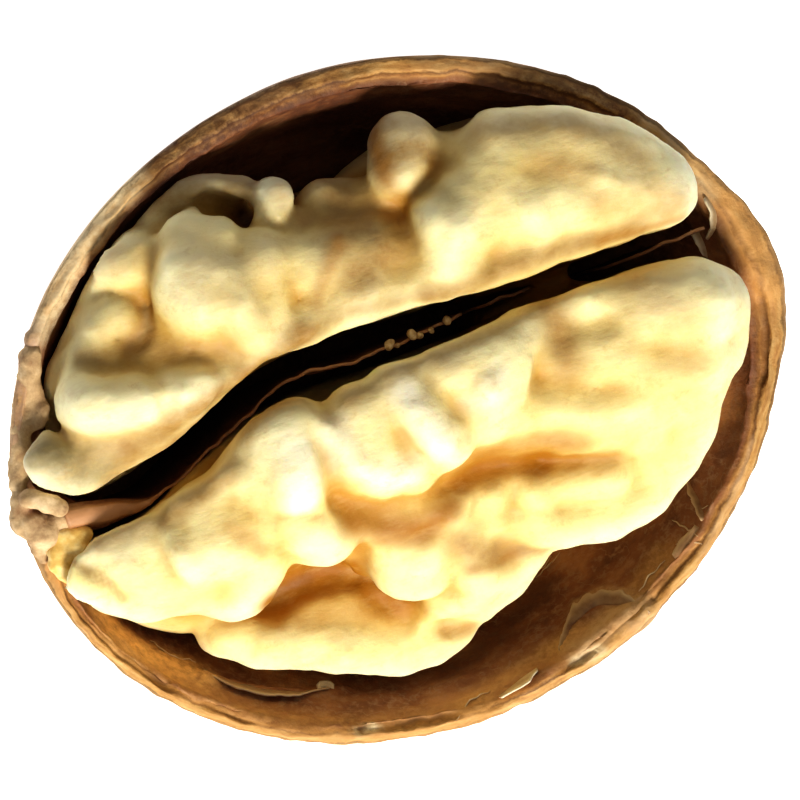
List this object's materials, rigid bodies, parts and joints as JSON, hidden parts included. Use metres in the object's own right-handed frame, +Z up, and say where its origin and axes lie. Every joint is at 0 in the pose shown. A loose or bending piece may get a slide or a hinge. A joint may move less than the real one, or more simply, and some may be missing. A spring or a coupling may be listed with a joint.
{
  "type": "cracked walnut half",
  "caption": "Half of a cracked walnut lying open on its round back: ridged woody shell, wrinkled two-lobed seed and the papery sheet between its lobes.",
  "frame": {"origin": "centre of the small flat spot that the half nut rests on", "axes": "+X along the nut from its blunt stalk end to its pointed tip, +Y across it from the near side to the far side, +Z up out of the open half"},
  "size_m": [0.0423, 0.0356, 0.023],
  "materials": {
    "shell": "matte",
    "kernel": "satin",
    "septum": "matte"
  },
  "bodies": {
    "root": {"shell": "shell", "kernel": "kernel", "septum": "septum"}
  },
  "joints": []
}
